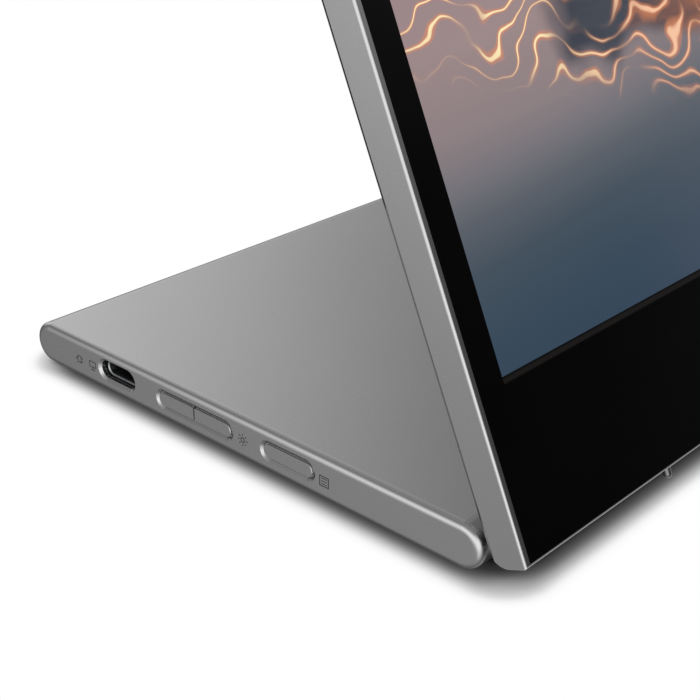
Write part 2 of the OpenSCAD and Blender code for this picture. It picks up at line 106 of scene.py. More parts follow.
aluminium = {
    "grit": 0.30 * mm,         # real blast marks are 0.05 to 0.1 mm, drawn coarser so that they show
    "gritDepth": 0.001 * mm, "gritRoughness": 0.02,
    "handling": 38 * mm,       # broad, faint differences in the anodising
    "bevelShadeTone": "#5E5E5F", "bevelRoughness": 0.35,   # painted shade: dark grey tone of the back-edge bevel; its roughness as a share of the sheet's roughness
}
screen = {
    "lean": radians(24), "frontGap": 11.81 * mm, "chinDrop": 3.55 * mm, "height": 207.6 * mm,
    "sideRim": 1.1 * mm, "footRim": 0.3 * mm, "glassDepth": 0.1 * mm, "chamfer": 0.1 * mm,
    "bevelStart": 5.68 * mm, "bevelSide": 161.19 * mm,   # of the back edge: behind the front, from the middle
}


def blastedAluminium(name, tone, shade, roughness):
    # Bead-blasted, anodised sheet: an even satin grey with a fine tooth that softens every reflection
    material, tree, shader, place = startMaterial(name)
    grit = addNode(tree, "TexNoise", {"Vector": place, "Scale": 1 / aluminium["grit"], "Detail": 2})
    broad = addNode(tree, "TexNoise", {"Vector": place, "Scale": 1 / aluminium["handling"], "Detail": 2})
    smooth, rough = roughness - aluminium["gritRoughness"], roughness + aluminium["gritRoughness"]
    setInputs(shader, {
        "Base Color": addNode(tree, "ValToRGB", [broad], stops=[(0.3, shade), (0.7, tone)]),
        "Metallic": 1.0,
        "Roughness": addNode(tree, "MapRange", {"Value": grit, "To Min": smooth, "To Max": rough}),
        "Normal": addNode(tree, "Bump", {"Height": grit, "Distance": aluminium["gritDepth"]}),
    })
    return material


def screenAxes(tree, place):
    # Object coordinates along the resting screen: X along the hinge line, Y behind it and Z up the screen
    moved = addNode(tree, "Mapping", {"Vector": place, "Location": [-v for v in hingeLine]})
    upright = addNode(tree, "Mapping", {"Vector": moved, "Rotation": (screen["lean"], 0, 0)})
    return addNode(tree, "SeparateXYZ", [upright]).node.outputs


def screenAluminium(name, tone, shade, roughness):
    # The same sheet; painted shade makes the back-edge bevel a dark hairline, with a lower roughness too
    material = blastedAluminium(name, tone, shade, roughness)
    tree = material.node_tree
    shader = tree.nodes["Principled BSDF"]
    axes = screenAxes(tree, addNode(tree, "TexCoord", out="Object"))
    start = screen["bevelStart"] - screen["frontGap"]
    behind = addNode(tree, "Math", (axes["Y"], start), operation="GREATER_THAN")
    side = addNode(tree, "Math", [axes["X"]], operation="ABSOLUTE")
    outside = addNode(tree, "Math", (side, screen["bevelSide"]), operation="GREATER_THAN")
    bevel = addNode(tree, "Math", (behind, outside), operation="MULTIPLY")
    share = addNode(tree, "MapRange", {"Value": bevel, "To Min": 1.0, "To Max": aluminium["bevelRoughness"]})
    sheet = shader.inputs["Base Color"].links[0].from_socket
    tooth = shader.inputs["Roughness"].links[0].from_socket
    # painted shade: inside the bevel mask the dark grey tone replaces the sheet's colour
    setInputs(shader, {
        "Base Color": addNode(tree, "Mix", {0: bevel, 6: sheet, 7: srgb(aluminium["bevelShadeTone"])},
                              out=2, data_type="RGBA"),
        "Roughness": addNode(tree, "Math", (tooth, share), operation="MULTIPLY"),
    })
    return material


plate = {
    "stretch": (0.05, 1, 1),   # rolling draws the marks out along X
    "relief": 0.003 * mm, "roughnessSpread": 0.12,
}


def rolledSteel(name, tone, shade, roughness, streak):
    # Rolled or plated steel: brighter than the case, with faint marks along the rolling
    material, tree, shader, place = startMaterial(name)
    along = addNode(tree, "Mapping", {"Vector": place, "Scale": plate["stretch"]})
    grain = addNode(tree, "TexNoise", {"Vector": along, "Scale": 1 / streak, "Detail": 3})
    followPattern(tree, shader, grain, {
        "colours": [(0.3, shade), (0.7, tone)],
        "roughness": (roughness, roughness + plate["roughnessSpread"]),
        "relief": plate["relief"],
        "even": {"Metallic": 1.0},
    })
    return material


rubber = {
    "grain": 0.25 * mm, "relief": 0.004 * mm,
    "colours": [(0.3, "#1A1B1D"), (0.7, "#26272A")], "roughness": (0.34, 0.46),
    "even": {"IOR": 1.42, "Coat Weight": 1.0, "Coat Roughness": 0.12, "Coat IOR": 1.9},
}


def mouldedRubber(name):
    # Silicone rubber with a moulded skin: near black with a fine grain, and a soft shine on its domes
    material, tree, shader, place = startMaterial(name)
    grain = addNode(tree, "TexNoise", {"Vector": place, "Scale": 1 / rubber["grain"], "Detail": 3})
    followPattern(tree, shader, grain, rubber)
    return material


nylon = {
    "grain": 0.2 * mm, "relief": 0.006 * mm,
    "colours": [(0.3, "#0F0F11"), (0.7, "#141416")], "roughness": (0.38, 0.5),
    "even": {"IOR": 1.53},
}


def mouldedNylon(name):
    # Glass-filled nylon: black, even and slightly dull
    material, tree, shader, place = startMaterial(name)
    grain = addNode(tree, "TexNoise", {"Vector": place, "Scale": 1 / nylon["grain"], "Detail": 2})
    followPattern(tree, shader, grain, nylon)
    return material


board = {
    "track": 2.4 * mm, "trackEdge": (0.06, 0.1), "relief": 0.02 * mm, "reliefShare": 0.5,
    "colours": [(0.0, "#2B6B47"), (1.0, "#184A30")], "roughness": (0.3, 0.4),
    "even": {},
}


def solderMask(name):
    # Lacquered glass-fibre board: deep green over faint copper tracks
    material, tree, shader, place = startMaterial(name)
    tracks = addNode(tree, "TexVoronoi", {"Vector": place, "Scale": 1 / board["track"]}, out="Distance",
                     distance="MANHATTAN", feature="DISTANCE_TO_EDGE")
    copper = addNode(tree, "MapRange", (tracks, *board["trackEdge"]))
    followPattern(tree, shader, copper, board)
    return material


cable = {
    "pitch": 3.2 * mm, "relief": 0.02 * mm, "reliefShare": 0.4,
    "colours": [(0.35, "#8E5216"), (0.65, "#C07A2B")], "roughness": (0.28, 0.36),
    "even": {},
}


def flatCable(name):
    # Polyimide film over copper: translucent amber with straight conductors
    material, tree, shader, place = startMaterial(name)
    tracks = addNode(tree, "TexWave", {"Vector": place, "Scale": 1 / cable["pitch"]}, out="Fac",
                     bands_direction="X", wave_profile="SIN")
    followPattern(tree, shader, tracks, cable)
    return material


bezel = {
    "haze": 16 * mm,
    "colours": [(0.3, "#030304"), (0.7, "#050506")], "roughness": (0.10, 0.14),
    "even": {"IOR": 1.5, "Specular IOR Level": 0.09},
}


def glossBezel(name):
    # Black-printed cover glass with an anti-reflection coat: deep black, so its reflections stay faint
    material, tree, shader, place = startMaterial(name)
    haze = addNode(tree, "TexNoise", {"Vector": place, "Scale": 1 / bezel["haze"], "Detail": 3})
    followPattern(tree, shader, haze, bezel)
    return material


guide = {
    "dots": 1.2 * mm,
    "colours": [(0.2, "#FFFFFF"), (0.5, "#E4E8EA")], "roughness": (0.15, 0.3),
    "even": {"IOR": 1.49},
}


def lightGuide(name):
    # Cast acrylic with a white reflector behind it
    material, tree, shader, place = startMaterial(name)
    dots = addNode(tree, "TexVoronoi", {"Vector": place, "Scale": 1 / guide["dots"]}, out="Distance")
    followPattern(tree, shader, dots, guide)
    return material


ink = {
    "grain": 0.2 * mm,
    "colours": [(0.3, "#1C1D1E"), (0.7, "#262728")], "roughness": (0.45, 0.6),
    "even": {"Metallic": 0.2},
}


def laserMark(name):
    # Laser-marked symbols: a darker, duller grey than the anodising round them
    material, tree, shader, place = startMaterial(name)
    grain = addNode(tree, "TexNoise", {"Vector": place, "Scale": 1 / ink["grain"], "Detail": 2})
    followPattern(tree, shader, grain, ink)
    return material


gold = {
    "grain": 0.3 * mm,
    "colours": [(0.3, "#C79A45"), (0.7, "#DDB35C")], "roughness": (0.2, 0.32),
    "even": {"Metallic": 1.0},
}


def goldPlate(name):
    # Gold over nickel on spring bronze
    material, tree, shader, place = startMaterial(name)
    grain = addNode(tree, "TexNoise", {"Vector": place, "Scale": 1 / gold["grain"], "Detail": 2})
    followPattern(tree, shader, grain, gold)
    return material


picture = {
    "left": -154.7 * mm, "bottom": 23.25 * mm, "height": 174 * mm,   # above the hinge line, along the screen
    "seam": 0.35 * mm,                                # dark line between the picture and the unlit strip
    "seamTone": "#060606", "stripTone": "#171312",
    "even": {"Base Color": srgb("#08090A"), "Roughness": 0.2, "IOR": 1.5, "Specular IOR Level": 0.16,
             "Emission Strength": 1.0},
}
# Sizes and places in the picture are shares of its height. A pair is where a part begins and where it is full
dusk = {
    "tones": [                                        # slate water, mauve air, dusk at the top
        (0.0, "#33465A"), (0.06, "#394B5B"), (0.12, "#465460"), (0.16, "#5E646C"), (0.196, "#7B787D"),
        (0.23, "#908385"), (0.30, "#A08C8C"), (0.42, "#9E868A"), (0.58, "#8A7890"), (0.78, "#5C5F82"),
        (1.0, "#343E66"),
    ],
    "drift": 0.9, "driftRise": 0.06, "tilt": 0.08,    # slow waves in the haze, and its fall to the left
    "ripple": 0.6, "rippleStretch": 7.0, "rippleSway": 0.6, "rippleShare": 0.25, "rippleTone": "#5B5A72",
    "veil": (0.18, 0.5), "veilShare": 0.36, "veilTone": "#62656F",
}
hills = {
    "ridge": 0.12, "ridgeRise": 0.12,
    "foot": (0.215, 0.245), "side": (0.185, 0.225), "top": (0.62, 0.42), "share": 0.92,
    "grass": 0.12, "grassLean": radians(70), "grassStretch": 9.0, "grassSway": 0.22,
    "tones": [(0.28, "#25313F"), (0.42, "#37404C"), (0.50, "#7A5348"), (0.60, "#A8684C"), (0.75, "#4A4450")],
}
ribbons = {
    "gap": 0.022, "sway": 19.0,                       # spacing, and bending in radians
    "detail": 1.5, "detailScale": 0.9, "detailRoughness": 0.45,
    "patch": 0.11, "patchEdge": (0.38, 0.56),
    "lean": 0.24, "foot": (0.245, 0.285), "top": (0.66, 0.44),
    "swell": (0.17, 0.34),                            # they grow wider from left to right
    "halo": (0.72, 0.30), "haloShare": 0.65, "haloTone": "#E08A5C",
    "core": (0.96, 0.86), "coreFull": 0.998, "coreTones": [(0.0, "#FFE9B8"), (1.0, "#F6C3A0")],
}
waveScale = 0.314    # a wave pattern of scale 1 repeats every 0.314


def litPicture(name):
    # Lit liquid-crystal panel under clear film: dusk over still water, with drifting bands of warm light.
    # Sockets 6 and 7 of a Mix node are its two colours, and its output 2 is the blend
    material, tree, shader, place = startMaterial(name)
    axes = screenAxes(tree, place)
    fromLeft = addNode(tree, "Math", (axes["X"], picture["left"]), operation="SUBTRACT")
    across = addNode(tree, "Math", (fromLeft, picture["height"]), operation="DIVIDE")
    fromFoot = addNode(tree, "Math", (axes["Z"], picture["bottom"]), operation="SUBTRACT")
    up = addNode(tree, "Math", (fromFoot, picture["height"]), operation="DIVIDE")
    plane = addNode(tree, "CombineXYZ", (across, up))

    drift = addNode(tree, "TexNoise", {"Vector": plane, "Scale": 1 / dusk["drift"], "Detail": 2})
    drift = addNode(tree, "Math", (drift, 0.5), operation="SUBTRACT")
    level = addNode(tree, "Math", (drift, dusk["driftRise"], up), operation="MULTIPLY_ADD")
    toLeft = addNode(tree, "Math", (0.5, across), operation="SUBTRACT")
    level = addNode(tree, "Math", (toLeft, dusk["tilt"], level), operation="MULTIPLY_ADD")
    base = addNode(tree, "ValToRGB", [level], stops=dusk["tones"])
    streaks = addNode(tree, "Mapping", {"Vector": plane, "Scale": (1.0, dusk["rippleStretch"], 1.0)})
    ripple = addNode(tree, "TexNoise", {"Vector": streaks, "Scale": 1 / dusk["ripple"], "Detail": 3,
                                        "Distortion": dusk["rippleSway"]})
    ripple = addNode(tree, "MapRange", {"Value": ripple, "To Max": dusk["rippleShare"]})
    base = addNode(tree, "Mix", {0: ripple, 6: base, 7: srgb(dusk["rippleTone"])},
                   out=2, data_type="RGBA", blend_type="SOFT_LIGHT")
    veil = softMask(tree, dusk["veilShare"], (across, *dusk["veil"]))
    base = addNode(tree, "Mix", {0: veil, 6: base, 7: srgb(dusk["veilTone"])}, out=2, data_type="RGBA")

    # Far hills: dark slate with a warm foot
    ridge = addNode(tree, "TexNoise", {"Vector": plane, "Scale": 1 / hills["ridge"], "Detail": 2.5})
    ridge = addNode(tree, "Math", (ridge, 0.5), operation="SUBTRACT")
    crest = addNode(tree, "Math", (ridge, hills["ridgeRise"], up), operation="MULTIPLY_ADD")
    flank = addNode(tree, "Math", (ridge, hills["ridgeRise"], across), operation="MULTIPLY_ADD")
    slopes = softMask(tree, hills["share"], (crest, *hills["foot"]), (flank, *hills["side"]),
                      (up, *hills["top"]))
    grass = addNode(tree, "Mapping", {"Vector": plane, "Rotation": (0, 0, hills["grassLean"]),
                                      "Scale": (1.0, hills["grassStretch"], 1.0)})
    grass = addNode(tree, "TexNoise", {"Vector": grass, "Scale": 1 / hills["grass"], "Detail": 3})
    blades = addNode(tree, "Math", (grass, hills["grassSway"], across), operation="MULTIPLY_ADD")
    blades = addNode(tree, "ValToRGB", [blades], stops=hills["tones"])
    base = addNode(tree, "Mix", {0: slopes, 6: base, 7: blades}, out=2, data_type="RGBA")

    # Bands of light: thin and bright, each with a soft orange edge, fading in and out along their length
    bands = addNode(tree, "TexWave", {
        "Vector": plane, "Scale": waveScale / ribbons["gap"], "Distortion": ribbons["sway"],
        "Detail": ribbons["detail"], "Detail Scale": ribbons["detailScale"],
        "Detail Roughness": ribbons["detailRoughness"],
    }, out="Fac", bands_direction="Y")
    patches = addNode(tree, "TexNoise", {"Vector": plane, "Scale": 1 / ribbons["patch"], "Detail": 1.5})
    leaning = addNode(tree, "Math", (across, ribbons["lean"], up), operation="MULTIPLY_ADD")
    zone = softMask(tree, 1.0, (leaning, *ribbons["foot"]), (leaning, *ribbons["top"]),
                    (patches, *ribbons["patchEdge"]))
    swell = softMask(tree, 1.0, (across, *ribbons["swell"]))
    thin, wide = ribbons["halo"]
    haloStart = addNode(tree, "MapRange", {"Value": swell, "To Min": thin, "To Max": wide})
    halo = softMask(tree, ribbons["haloShare"], (bands, haloStart, 1.0))
    halo = addNode(tree, "Math", (halo, zone), operation="MULTIPLY")
    base = addNode(tree, "Mix", {0: halo, 6: base, 7: srgb(ribbons["haloTone"])}, out=2, data_type="RGBA")
    thin, wide = ribbons["core"]
    coreStart = addNode(tree, "MapRange", {"Value": swell, "To Min": thin, "To Max": wide})
    core = softMask(tree, 1.0, (bands, coreStart, ribbons["coreFull"]))
    core = addNode(tree, "Math", (core, zone), operation="MULTIPLY")
    glow = addNode(tree, "ValToRGB", [swell], stops=ribbons["coreTones"])
    base = addNode(tree, "Mix", {0: core, 6: base, 7: glow}, out=2, data_type="RGBA")

    # Below the picture: a dark seam, then the panel's unlit strip
    shown = addNode(tree, "Math", (up, 0.0), operation="GREATER_THAN")
    nearFoot = addNode(tree, "Math", (up, -picture["seam"] / picture["height"]), operation="GREATER_THAN")
    strip = addNode(tree, "Mix", {0: nearFoot, 6: srgb(picture["stripTone"]), 7: srgb(picture["seamTone"])},
                    out=2, data_type="RGBA")
    base = addNode(tree, "Mix", {0: shown, 6: strip, 7: base}, out=2, data_type="RGBA")
    setInputs(shader, {"Emission Color": base, **picture["even"]})
    return material


finishes = {
    "shell_aluminium": blastedAluminium("caseAluminium", "#A6A6A7", "#A3A3A4", 0.28),
    "screen_aluminium": screenAluminium("screenAluminium", "#A6A6A7", "#A3A3A4", 0.28),
    "cover_aluminium": blastedAluminium("coverAluminium", "#8E8F91", "#8A8B8D", 0.4),
    "knuckle_aluminium": blastedAluminium("knuckleAluminium", "#7F8082", "#7A7B7D", 0.36),
    "key_aluminium": blastedAluminium("keyAluminium", "#A6A6A7", "#A3A3A4", 0.28),
    "tray_aluminium": blastedAluminium("trayAluminium", "#B5B7B9", "#AEB0B2", 0.3),
    "foot_rubber": mouldedRubber("footRubber"),
    "screw_steel": rolledSteel("screwSteel", "#8F9194", "#7C7E81", 0.28, 0.6 * mm),
    "can_steel": rolledSteel("tinnedSteel", "#C4C6C8", "#B4B6B8", 0.25, 1.5 * mm),
    "hinge_steel": rolledSteel("hingeSteel", "#9C9EA1", "#8A8C8F", 0.26, 0.8 * mm),
    "port_steel": rolledSteel("socketSteel", "#8E9092", "#828486", 0.26, 0.8 * mm),
    "black_plastic": mouldedNylon("blackNylon"),
    "circuit_board": solderMask("circuitBoard"),
    "ribbon_film": flatCable("ribbonFilm"),
    "bezel_gloss": glossBezel("bezelGlass"),
    "picture_glass": litPicture("litPicture"),
    "guide_acrylic": lightGuide("guideAcrylic"),
    "chamfer_aluminium": blastedAluminium("chamferAluminium", "#5E5E5F", "#5A5A5B", 0.3),
    "ink_mark": laserMark("inkMark"),
    "gold_plate": goldPlate("goldPlate"),
}


def finishNodes():
    for part in frame["record"]["subparts"]:
        mesh = nodes[part["node"]].data
        mesh.materials.clear()
        mesh.materials.append(finishes[part["material_slot"]])
    housing = nodes["screen_housing"].data
    housing.materials.clear()
    housing.materials.append(finishes["screen_aluminium"])


finishNodes()
print("finishes on", len(nodes), "nodes")


def deselectAll():
    bpy.ops.object.select_all(action="DESELECT")


def selectWhere(mesh, test, kind="vertices"):
    # Selects, in edit mode, the vertices or edges whose middle passes the test
    bpy.ops.object.mode_set(mode="OBJECT")
    bpy.ops.object.mode_set(mode="EDIT")
    bpy.ops.mesh.select_all(action="DESELECT")
    bpy.ops.mesh.select_mode(type={"vertices": "VERT", "edges": "EDGE"}[kind])
    bpy.ops.object.mode_set(mode="OBJECT")
    for item in getattr(mesh, kind):
        if kind == "vertices":
            middle = item.co
        else:
            middle = sum((mesh.vertices[i].co for i in item.vertices), Vector()) / len(item.vertices)
        item.select = test(middle)
    bpy.ops.object.mode_set(mode="EDIT")


def finishPiece(piece, name, material, body, turn=None):
    # Gives a piece its place in its mesh, its finish and the body that it rides on
    bpy.ops.object.mode_set(mode="OBJECT")
    if turn is not None:
        piece.data.transform(turn)
    bpy.ops.object.transform_apply(location=True, rotation=True, scale=True)
    piece.name = name
    piece.data.materials.clear()
    piece.data.materials.append(material)
    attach(piece, body)


def glassTrim():
    # Polished chamfer round the glass, which catches the light as a hairline
    deselectAll()
    low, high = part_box("screen_housing")
    wide = high[0] - low[0] - 2 * screen["sideRim"]
    foot, top = screen["footRim"], screen["height"] - screen["sideRim"]
    bpy.ops.mesh.primitive_plane_add(size=1, location=(0, screen["glassDepth"], (foot + top) / 2),
                                     rotation=(pi / 2, 0, 0))
    piece = bpy.context.object
    piece.scale = (wide, top - foot, 1)
    bpy.ops.object.transform_apply(location=True, rotation=True, scale=True)
    bpy.ops.object.mode_set(mode="EDIT")
    bpy.ops.mesh.select_all(action="SELECT")
    bpy.ops.mesh.inset(thickness=screen["chamfer"], depth=0)
    bpy.ops.mesh.delete(type="FACE")
    bpy.ops.object.mode_set(mode="OBJECT")
    wall = piece.modifiers.new("wall", "SOLIDIFY")
    wall.thickness = screen["glassDepth"]
    wall.offset = 1
    bpy.ops.object.modifier_apply(modifier="wall")
    # The front edge goes back on the glass's side, which makes the slope
    inner = wide / 2 - screen["chamfer"] / 2
    selectWhere(piece.data, lambda p: p.y < screen["glassDepth"] / 2 and abs(p.x) < inner)
    bpy.ops.transform.translate(value=(0, screen["glassDepth"], 0))
    bpy.ops.mesh.select_all(action="SELECT")
    bpy.ops.mesh.remove_doubles(threshold=0.001 * mm)
    bpy.ops.mesh.dissolve_degenerate()
    stand = (Matrix.Translation(hingeLine) @ Matrix.Rotation(-screen["lean"], 4, "X")
             @ Matrix.Translation((0, -screen["frontGap"], -screen["chinDrop"])))
    finishPiece(piece, "glass_trim", finishes["chamfer_aluminium"], "screen", stand)


contacts = {
    "number": 12, "pitch": 0.5 * mm, "wide": 0.28 * mm, "long": 3.4 * mm, "thick": 0.03 * mm,
    "fromTip": 0.3 * mm, "tongue": 0.7 * mm,          # the tongue's own thickness
    "slope": 0.1,                                     # of the length, where each finger starts
}


def goldContacts():
    # Two rows of gold fingers on the tongue of each socket
    deselectAll()
    low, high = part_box("port_tongue_left")
    middle = (Vector(low) + Vector(high)) / 2
    tip = low[0] + contacts["fromTip"]
    first = middle.y - (contacts["number"] - 1) / 2 * contacts["pitch"]
    rise = (contacts["tongue"] + contacts["thick"]) / 2
    bpy.ops.mesh.primitive_cube_add(size=1, location=(tip + contacts["long"] / 2, first, middle.z + rise))
    piece = bpy.context.object
    piece.scale = (contacts["long"], contacts["wide"], contacts["thick"])
    bpy.ops.object.transform_apply(location=True, rotation=True, scale=True)
    near = tip + contacts["slope"] * contacts["long"]
    selectWhere(piece.data, lambda p: p.x < near and p.z > middle.z + rise)
    bpy.ops.transform.translate(value=(contacts["wide"] / 2, 0, 0))
    selectWhere(piece.data, lambda p: p.x < near and abs(p.y - first) > contacts["wide"] / 4, "edges")
    bpy.ops.mesh.bevel(offset=contacts["wide"] / 3, segments=3, affect="EDGES")
    bpy.ops.object.mode_set(mode="OBJECT")
    row = piece.modifiers.new("row", "ARRAY")
    row.count = contacts["number"]
    row.use_relative_offset = False
    row.use_constant_offset = True
    row.constant_offset_displace = (0, contacts["pitch"], 0)
    bpy.ops.object.modifier_apply(modifier="row")
    bpy.ops.object.mode_set(mode="EDIT")
    bpy.ops.mesh.select_all(action="SELECT")
    bpy.ops.mesh.duplicate()
    bpy.ops.transform.rotate(value=pi, orient_axis="X", center_override=middle)
    finishPiece(piece, "contacts_left", finishes["gold_plate"], "base")
    # The socket on the other side is turned half round the middle of the base
    twin = piece.copy()
    twin.data = piece.data.copy()
    bpy.context.scene.collection.objects.link(twin)
    twin.data.transform(Matrix.Translation((0, middle.y, 0)) @ Matrix.Rotation(pi, 4, "Z")
                        @ Matrix.Translation((0, -middle.y, 0)))
    twin.name = "contacts_right"
    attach(twin, "base")


marks = {
    "line": 0.2 * mm, "thick": 0.004 * mm,
    # Places are along Y and above the table
    "plugPlace": (45.45 * mm, 4.55 * mm), "plugSize": (2.4 * mm, 1.5 * mm),
    "displayPlace": (41.4 * mm, 4.5 * mm), "displaySize": (2.0 * mm, 2.1 * mm),
    "sunPlace": (0.19 * mm, 4.5 * mm), "sunDisc": 0.52 * mm, "sunRays": (0.78 * mm, 1.2 * mm), "rays": 8,
    "listPlace": (-18.96 * mm, 4.23 * mm), "listSize": (2.15 * mm, 2.0 * mm), "listLines": 3,
}


def inkBar(middle, size, angle=0.0):
    bpy.ops.mesh.primitive_plane_add(size=1, location=(middle[0], middle[1], 0), rotation=(0, 0, angle))
    bar = bpy.context.object
    bar.scale = (size[0], size[1], 1)
    bpy.ops.object.transform_apply(location=True, rotation=True, scale=True)
    return bar


def inkOutline(middle, size, corners):
    # Thin outline: a polygon or disc with its middle taken out
    bpy.ops.mesh.primitive_circle_add(vertices=corners, radius=0.5, fill_type="NGON",
                                      location=(middle[0], middle[1], 0), rotation=(0, 0, pi / corners))
    ring = bpy.context.object
    stretch = 1 / cos(pi / corners)      # from the corners' circle to the flats
    bpy.ops.object.transform_apply(location=False, rotation=True, scale=False)
    ring.scale = (size[0] * stretch, size[1] * stretch, 1)
    bpy.ops.object.transform_apply(location=True, rotation=True, scale=True)
    bpy.ops.object.mode_set(mode="EDIT")
    bpy.ops.mesh.select_all(action="SELECT")
    bpy.ops.mesh.inset(thickness=marks["line"], depth=0)
    bpy.ops.mesh.delete(type="FACE")
    bpy.ops.object.mode_set(mode="OBJECT")
    return ring


def printMark(name, strokes, place):
    # Joins the strokes of one symbol and lays it on the left side of the base
    deselectAll()
    for stroke in strokes:
        stroke.select_set(True)
    piece = strokes[0]
    bpy.context.view_layer.objects.active = piece
    bpy.ops.object.join()
    bpy.ops.object.transform_apply(location=True, rotation=True, scale=True)
    film = piece.modifiers.new("film", "SOLIDIFY")
    film.thickness = marks["thick"]
    film.offset = 1
    bpy.ops.object.modifier_apply(modifier="film")
    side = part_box("base_shell")[0][0]
    facing = Matrix(((0, 0, -1, side), (-1, 0, 0, place[0]), (0, 1, 0, place[1]), (0, 0, 0, 1)))
    finishPiece(piece, name, finishes["ink_mark"], "base", facing)


def pictograms():
    # Generic symbols beside the socket and the keys: a plug, a display, a sun and a list.
    # Their strokes are placed in shares of each symbol's width and height
    line = marks["line"]
    deselectAll()
    wide, tall = marks["plugSize"]
    plug = [
        inkOutline((0, 0), (0.5 * wide, tall), 4),
        inkBar((-0.37 * wide, 0), (0.24 * wide, line)),
        inkBar((0.36 * wide, 0.25 * tall), (0.22 * wide, line)),
        inkBar((0.36 * wide, -0.25 * tall), (0.22 * wide, line)),
    ]
    printMark("plug_symbol", plug, marks["plugPlace"])
    wide, tall = marks["displaySize"]
    display = [
        inkOutline((0, 0.12 * tall), (wide, 0.62 * tall), 4),
        inkBar((0, -0.28 * tall), (line, 0.2 * tall)),
        inkBar((0, -0.42 * tall), (0.6 * wide, line)),
    ]
    printMark("display_symbol", display, marks["displayPlace"])
    near, far = marks["sunRays"]
    sun = [inkOutline((0, 0), (2 * marks["sunDisc"], 2 * marks["sunDisc"]), 32)]
    for i in range(marks["rays"]):
        angle = 2 * pi * i / marks["rays"]
        middle = ((near + far) / 2 * cos(angle), (near + far) / 2 * sin(angle))
        sun.append(inkBar(middle, (far - near, line), angle))
    printMark("sun_symbol", sun, marks["sunPlace"])
    wide, tall = marks["listSize"]
    page = [inkOutline((0, 0), (wide, tall), 4)]
    for i in range(marks["listLines"]):
        height = tall * ((i + 1) / (marks["listLines"] + 1) - 0.5)
        page.append(inkBar((0, height), (0.62 * wide, 0.8 * line)))
    printMark("list_symbol", page, marks["listPlace"])


glassTrim()
goldContacts()
pictograms()
print("trim, contacts and symbols")


floor = {
    "size": 3.0, "sink": 0.1 * mm,
    "inside": 5 * mm, "outside": 5 * mm,      # where the painted contact shadow is darkest and where it ends
    "frontInset": 2.6 * mm,
    "innerCorner": 12 * mm, "outerCorner": 6 * mm,   # the corner gets sharper as the shadow gets paler
    "cornerBlend": (-3 * mm, 3 * mm),
    "shade": [
        (0.0, "#0E0E0E"), (0.2, "#2E2E2E"), (0.28, "#343434"), (0.315, "#3E3E3E"), (0.37, "#4A4A4A"),
        (0.435, "#5C5C5C"), (0.50, "#767676"), (0.564, "#949494"), (0.628, "#B4B4B4"), (0.693, "#CECECE"),
        (0.76, "#E4E4E4"), (0.82, "#F3F3F3"), (0.89, "#FBFBFB"), (1.0, "#FFFFFF"),
    ],
    "reach": 10 * mm,                         # occlusion under whatever hangs over the floor, painted into the floor's colour as soft shade
    "covered": [(0.1, "#404040"), (0.43, "#A0A0A0"), (0.6, "#F4F4F4"), (0.7, "#FFFFFF")],
    "mirrored": (0.5 * mm, -1.0 * mm),        # edge of the painted shadow under the footprint that the metal above it sees
}


def buildFloor():
    # White for the camera, with a painted contact shadow round the footprint, darkened further by occlusion. For
    # the metal the studio goes on below, apart from the painted shadow under the footprint
    deselectAll()
    bpy.ops.mesh.primitive_plane_add(size=floor["size"], location=(0, 0, -floor["sink"]))
    plane = bpy.context.object
    plane.name = "floorPlane"
    material = bpy.data.materials.new("paleFloor")
    material.use_nodes = True
    tree = material.node_tree
    tree.nodes.clear()
    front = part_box("screen_housing")[0][1] + floor["frontInset"]
    low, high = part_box("base_shell")
    middle = ((low[0] + high[0]) / 2, (front + high[1]) / 2, 0)
    place = addNode(tree, "TexCoord", out="Object")
    place = addNode(tree, "VectorMath", (place, middle), operation="SUBTRACT")
    place = addNode(tree, "VectorMath", [place], operation="ABSOLUTE")

    def distanceFrom(corner):
        # Distance outside a footprint with rounded corners, less than 0 inside it
        half = ((high[0] - low[0]) / 2 - corner, (high[1] - front) / 2 - corner, 1)
        beyond = addNode(tree, "VectorMath", (place, half), operation="SUBTRACT")
        outer = addNode(tree, "VectorMath", (beyond, (0, 0, 0)), operation="MAXIMUM")
        outer = addNode(tree, "VectorMath", [outer], out="Value", operation="LENGTH")
        sides = addNode(tree, "SeparateXYZ", [beyond]).node.outputs
        inner = addNode(tree, "Math", (sides["X"], sides["Y"]), operation="MAXIMUM")
        inner = addNode(tree, "Math", (inner, 0.0), operation="MINIMUM")
        both = addNode(tree, "Math", (outer, inner), operation="ADD")
        return addNode(tree, "Math", (both, corner), operation="SUBTRACT")

    # painted shadow: the floor's colour follows its distance from the footprint
    rounded, sharp = distanceFrom(floor["innerCorner"]), distanceFrom(floor["outerCorner"])
    blend = softMask(tree, 1.0, (sharp, *floor["cornerBlend"]))
    sharper = addNode(tree, "Math", (sharp, rounded), operation="SUBTRACT")
    distance = addNode(tree, "Math", (sharper, blend, rounded), operation="MULTIPLY_ADD")
    share = addNode(tree, "MapRange", (distance, -floor["inside"], floor["outside"]))
    shade = addNode(tree, "ValToRGB", [share], stops=floor["shade"])
    covered = addNode(tree, "AmbientOcclusion", {"Distance": floor["reach"]}, out="AO", samples=16)
    covered = addNode(tree, "ValToRGB", [covered], stops=floor["covered"])
    shade = addNode(tree, "Mix", {0: 1.0, 6: shade, 7: covered}, out=2, data_type="RGBA", blend_type="DARKEN")
    seen = addNode(tree, "Emission", {"Color": shade, "Strength": 1.0})
    rays = addNode(tree, "LightPath").node.outputs
    below = addNode(tree, "NewGeometry", out="Backfacing")
    fromAbove = addNode(tree, "Math", (rays["Is Camera Ray"], below), operation="SUBTRACT", use_clamp=True)
    under = softMask(tree, rays["Is Glossy Ray"], (distance, *floor["mirrored"]))
    shown = addNode(tree, "Math", (fromAbove, under), operation="MAXIMUM")
    mixed = addNode(tree, "MixShader", (shown, addNode(tree, "BsdfTransparent"), seen))
    addNode(tree, "OutputMaterial", {"Surface": mixed})
    plane.data.materials.append(material)


